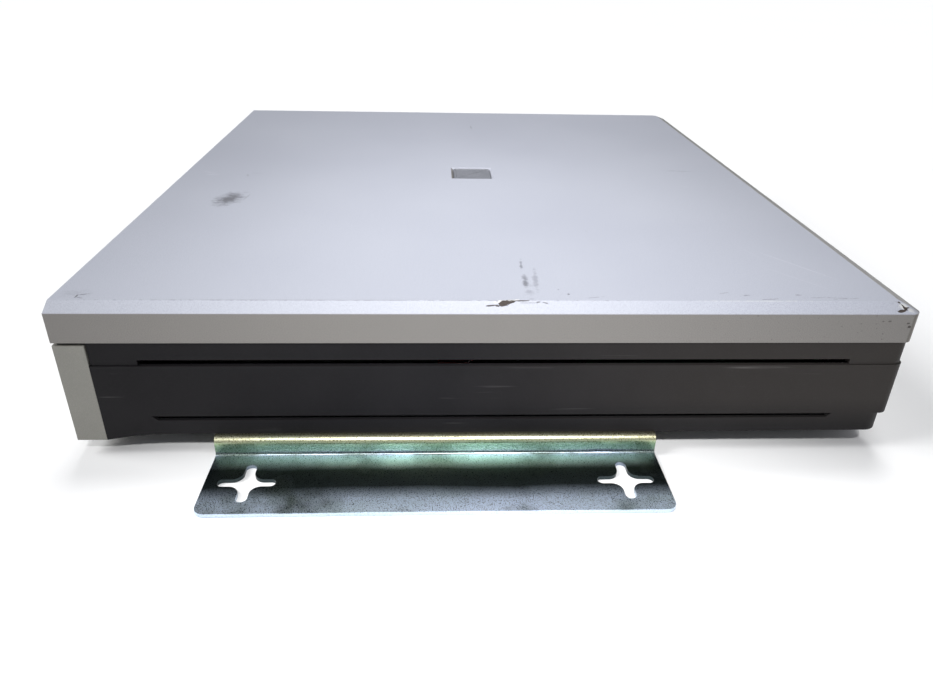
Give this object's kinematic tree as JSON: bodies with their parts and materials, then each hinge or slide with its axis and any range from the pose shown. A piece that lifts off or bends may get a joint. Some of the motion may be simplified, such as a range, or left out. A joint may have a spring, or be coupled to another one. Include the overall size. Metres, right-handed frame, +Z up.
{
  "type": "digital video recorder",
  "caption": "Flat desktop digital video recorder: silver cover over a black vented case, front controls, rear video jacks, and a pair of stepped side brackets with cross-shaped slots.",
  "frame": {"origin": "on the mounting surface, under the middle of the case, at the brackets' underside", "axes": "+Z up, the front faces -Y, X runs across the width"},
  "size_m": [0.532, 0.404, 0.0785],
  "materials": {
    "cover_paint": "silver paint over dark moulded plastic, satin, lightly worn",
    "bezel_paint": "warm silver-grey paint, satin",
    "black_moulding": "black moulded plastic with a fine satin texture",
    "gloss_fascia": "gloss black moulded plastic",
    "badge_plate": "worn dark grey plate",
    "chromate_steel": "zinc-plated steel with iridescent chromate",
    "sheet_steel": "bright zinc-plated sheet steel",
    "circuit_board": "green solder mask over glass laminate",
    "supply_board": "brown laminate",
    "chip_plastic": "moulded epoxy",
    "heatsink": "extruded aluminium",
    "capacitor": "blue sleeve over an aluminium can",
    "supply_parts": "yellow tape, black sleeves and bare aluminium",
    "nickel": "nickel-plated brass",
    "white_insulator": "white insulator with a gold contact",
    "terminal_green": "green moulded plastic",
    "drive_casting": "die-cast aluminium under a bright lid",
    "drive_case_steel": "thin zinc-plated steel",
    "tray_plastic": "black moulded plastic",
    "key_silver": "silver-painted key",
    "record_red": "red key",
    "ring_grey": "dark grey rubberised plastic",
    "dial_metal": "turned aluminium",
    "led_green": "clear green lens",
    "ir_red": "dark red infrared window",
    "cable_red": "red cable sheath",
    "cable_yellow": "coloured wire insulation",
    "ribbon_grey": "grey flat ribbon",
    "foot_rubber": "black rubber",
    "screw_zinc": "zinc-plated screw",
    "screw_black": "black screw",
    "switch_black": "black moulded plastic"
  },
  "bodies": {
    "case": {"top_cover": "cover_paint", "cover_badge": "badge_plate", "upper_frame": "black_moulding", "lower_housing": "black_moulding", "front_bezel": "bezel_paint", "front_fascia": "gloss_fascia", "rear_panel": "sheet_steel", "chassis_tray": "sheet_steel", "main_board": "circuit_board", "board_chips": "chip_plastic", "chip_heatsink": "heatsink", "board_capacitors": "capacitor", "video_jacks": "nickel", "jack_contacts": "white_insulator", "audio_jacks": "nickel", "vga_port": "nickel", "network_port": "nickel", "terminal_block": "terminal_green", "power_inlet": "switch_black", "psu_board": "supply_board", "psu_components": "supply_parts", "psu_guard": "sheet_steel", "hard_drive_left": "drive_casting", "hard_drive_right": "drive_casting", "drive_bridge": "sheet_steel", "disc_drive_case": "drive_case_steel", "control_board": "circuit_board", "status_leds": "led_green", "ir_window": "ir_red", "usb_port": "nickel", "fan_frame": "switch_black", "fan_guard": "nickel", "sata_cables": "cable_red", "power_harness": "cable_yellow", "panel_ribbon": "ribbon_grey", "bracket_right": "chromate_steel", "bracket_left": "chromate_steel", "bracket_screws": "screw_zinc", "cover_screws": "screw_black", "feet": "foot_rubber"},
    "disc_tray": {"disc_tray": "tray_plastic"},
    "eject_button": {"eject_button": "key_silver"},
    "power_button": {"power_button": "key_silver"},
    "jog_dial": {"jog_dial": "dial_metal"},
    "shuttle_ring": {"shuttle_ring": "ring_grey"},
    "fan_rotor": {"fan_rotor": "tray_plastic"},
    "rocker_switch": {"rocker_switch": "switch_black"},
    "channel_key_1": {"channel_key_1": "key_silver"},
    "channel_key_2": {"channel_key_2": "key_silver"},
    "channel_key_3": {"channel_key_3": "key_silver"},
    "channel_key_4": {"channel_key_4": "key_silver"},
    "channel_key_5": {"channel_key_5": "key_silver"},
    "channel_key_6": {"channel_key_6": "key_silver"},
    "channel_key_7": {"channel_key_7": "key_silver"},
    "channel_key_8": {"channel_key_8": "key_silver"},
    "rewind_key": {"rewind_key": "key_silver"},
    "play_key": {"play_key": "key_silver"},
    "stop_key": {"stop_key": "key_silver"},
    "record_key": {"record_key": "record_red"},
    "forward_key": {"forward_key": "key_silver"}
  },
  "joints": [
    {"name": "disc_tray_slide", "type": "slide", "parent": "case", "child": "disc_tray", "axis": [0, -1, 0], "range_m": [0, 0.108]},
    {"name": "eject_press", "type": "slide", "parent": "disc_tray", "child": "eject_button", "axis": [0, 1, 0], "range_m": [0, 0.0008], "stiffness_N_per_m": 1200},
    {"name": "power_press", "type": "slide", "parent": "case", "child": "power_button", "axis": [0, 1, 0], "range_m": [0, 0.0008], "stiffness_N_per_m": 1500},
    {"name": "jog_spin", "type": "hinge", "parent": "case", "child": "jog_dial", "pos_m": [0.122, -0.196, 0.0336], "axis": [0, -1, 0], "continuous": true},
    {"name": "shuttle_turn", "type": "hinge", "parent": "case", "child": "shuttle_ring", "pos_m": [0.122, -0.196, 0.0336], "axis": [0, -1, 0], "range_deg": [-75, 75], "stiffness_Nm_per_rad": 0.03},
    {"name": "fan_spin", "type": "hinge", "parent": "case", "child": "fan_rotor", "pos_m": [-0.115, 0.177, 0.037], "axis": [0, 1, 0], "continuous": true},
    {"name": "rocker_turn", "type": "hinge", "parent": "case", "child": "rocker_switch", "pos_m": [-0.156, 0.184, 0.036], "axis": [1, 0, 0], "range_deg": [-16, 0]},
    {"name": "channel_1_press", "type": "slide", "parent": "case", "child": "channel_key_1", "axis": [0, 1, 0], "range_m": [0, 0.0008], "stiffness_N_per_m": 1200},
    {"name": "channel_2_press", "type": "slide", "parent": "case", "child": "channel_key_2", "axis": [0, 1, 0], "range_m": [0, 0.0008], "stiffness_N_per_m": 1200},
    {"name": "channel_3_press", "type": "slide", "parent": "case", "child": "channel_key_3", "axis": [0, 1, 0], "range_m": [0, 0.0008], "stiffness_N_per_m": 1200},
    {"name": "channel_4_press", "type": "slide", "parent": "case", "child": "channel_key_4", "axis": [0, 1, 0], "range_m": [0, 0.0008], "stiffness_N_per_m": 1200},
    {"name": "channel_5_press", "type": "slide", "parent": "case", "child": "channel_key_5", "axis": [0, 1, 0], "range_m": [0, 0.0008], "stiffness_N_per_m": 1200},
    {"name": "channel_6_press", "type": "slide", "parent": "case", "child": "channel_key_6", "axis": [0, 1, 0], "range_m": [0, 0.0008], "stiffness_N_per_m": 1200},
    {"name": "channel_7_press", "type": "slide", "parent": "case", "child": "channel_key_7", "axis": [0, 1, 0], "range_m": [0, 0.0008], "stiffness_N_per_m": 1200},
    {"name": "channel_8_press", "type": "slide", "parent": "case", "child": "channel_key_8", "axis": [0, 1, 0], "range_m": [0, 0.0008], "stiffness_N_per_m": 1200},
    {"name": "rewind_press", "type": "slide", "parent": "case", "child": "rewind_key", "axis": [0, 1, 0], "range_m": [0, 0.0008], "stiffness_N_per_m": 1200},
    {"name": "play_press", "type": "slide", "parent": "case", "child": "play_key", "axis": [0, 1, 0], "range_m": [0, 0.0008], "stiffness_N_per_m": 1200},
    {"name": "stop_press", "type": "slide", "parent": "case", "child": "stop_key", "axis": [0, 1, 0], "range_m": [0, 0.0008], "stiffness_N_per_m": 1200},
    {"name": "record_press", "type": "slide", "parent": "case", "child": "record_key", "axis": [0, 1, 0], "range_m": [0, 0.0008], "stiffness_N_per_m": 1200},
    {"name": "forward_press", "type": "slide", "parent": "case", "child": "forward_key", "axis": [0, 1, 0], "range_m": [0, 0.0008], "stiffness_N_per_m": 1200}
  ]
}
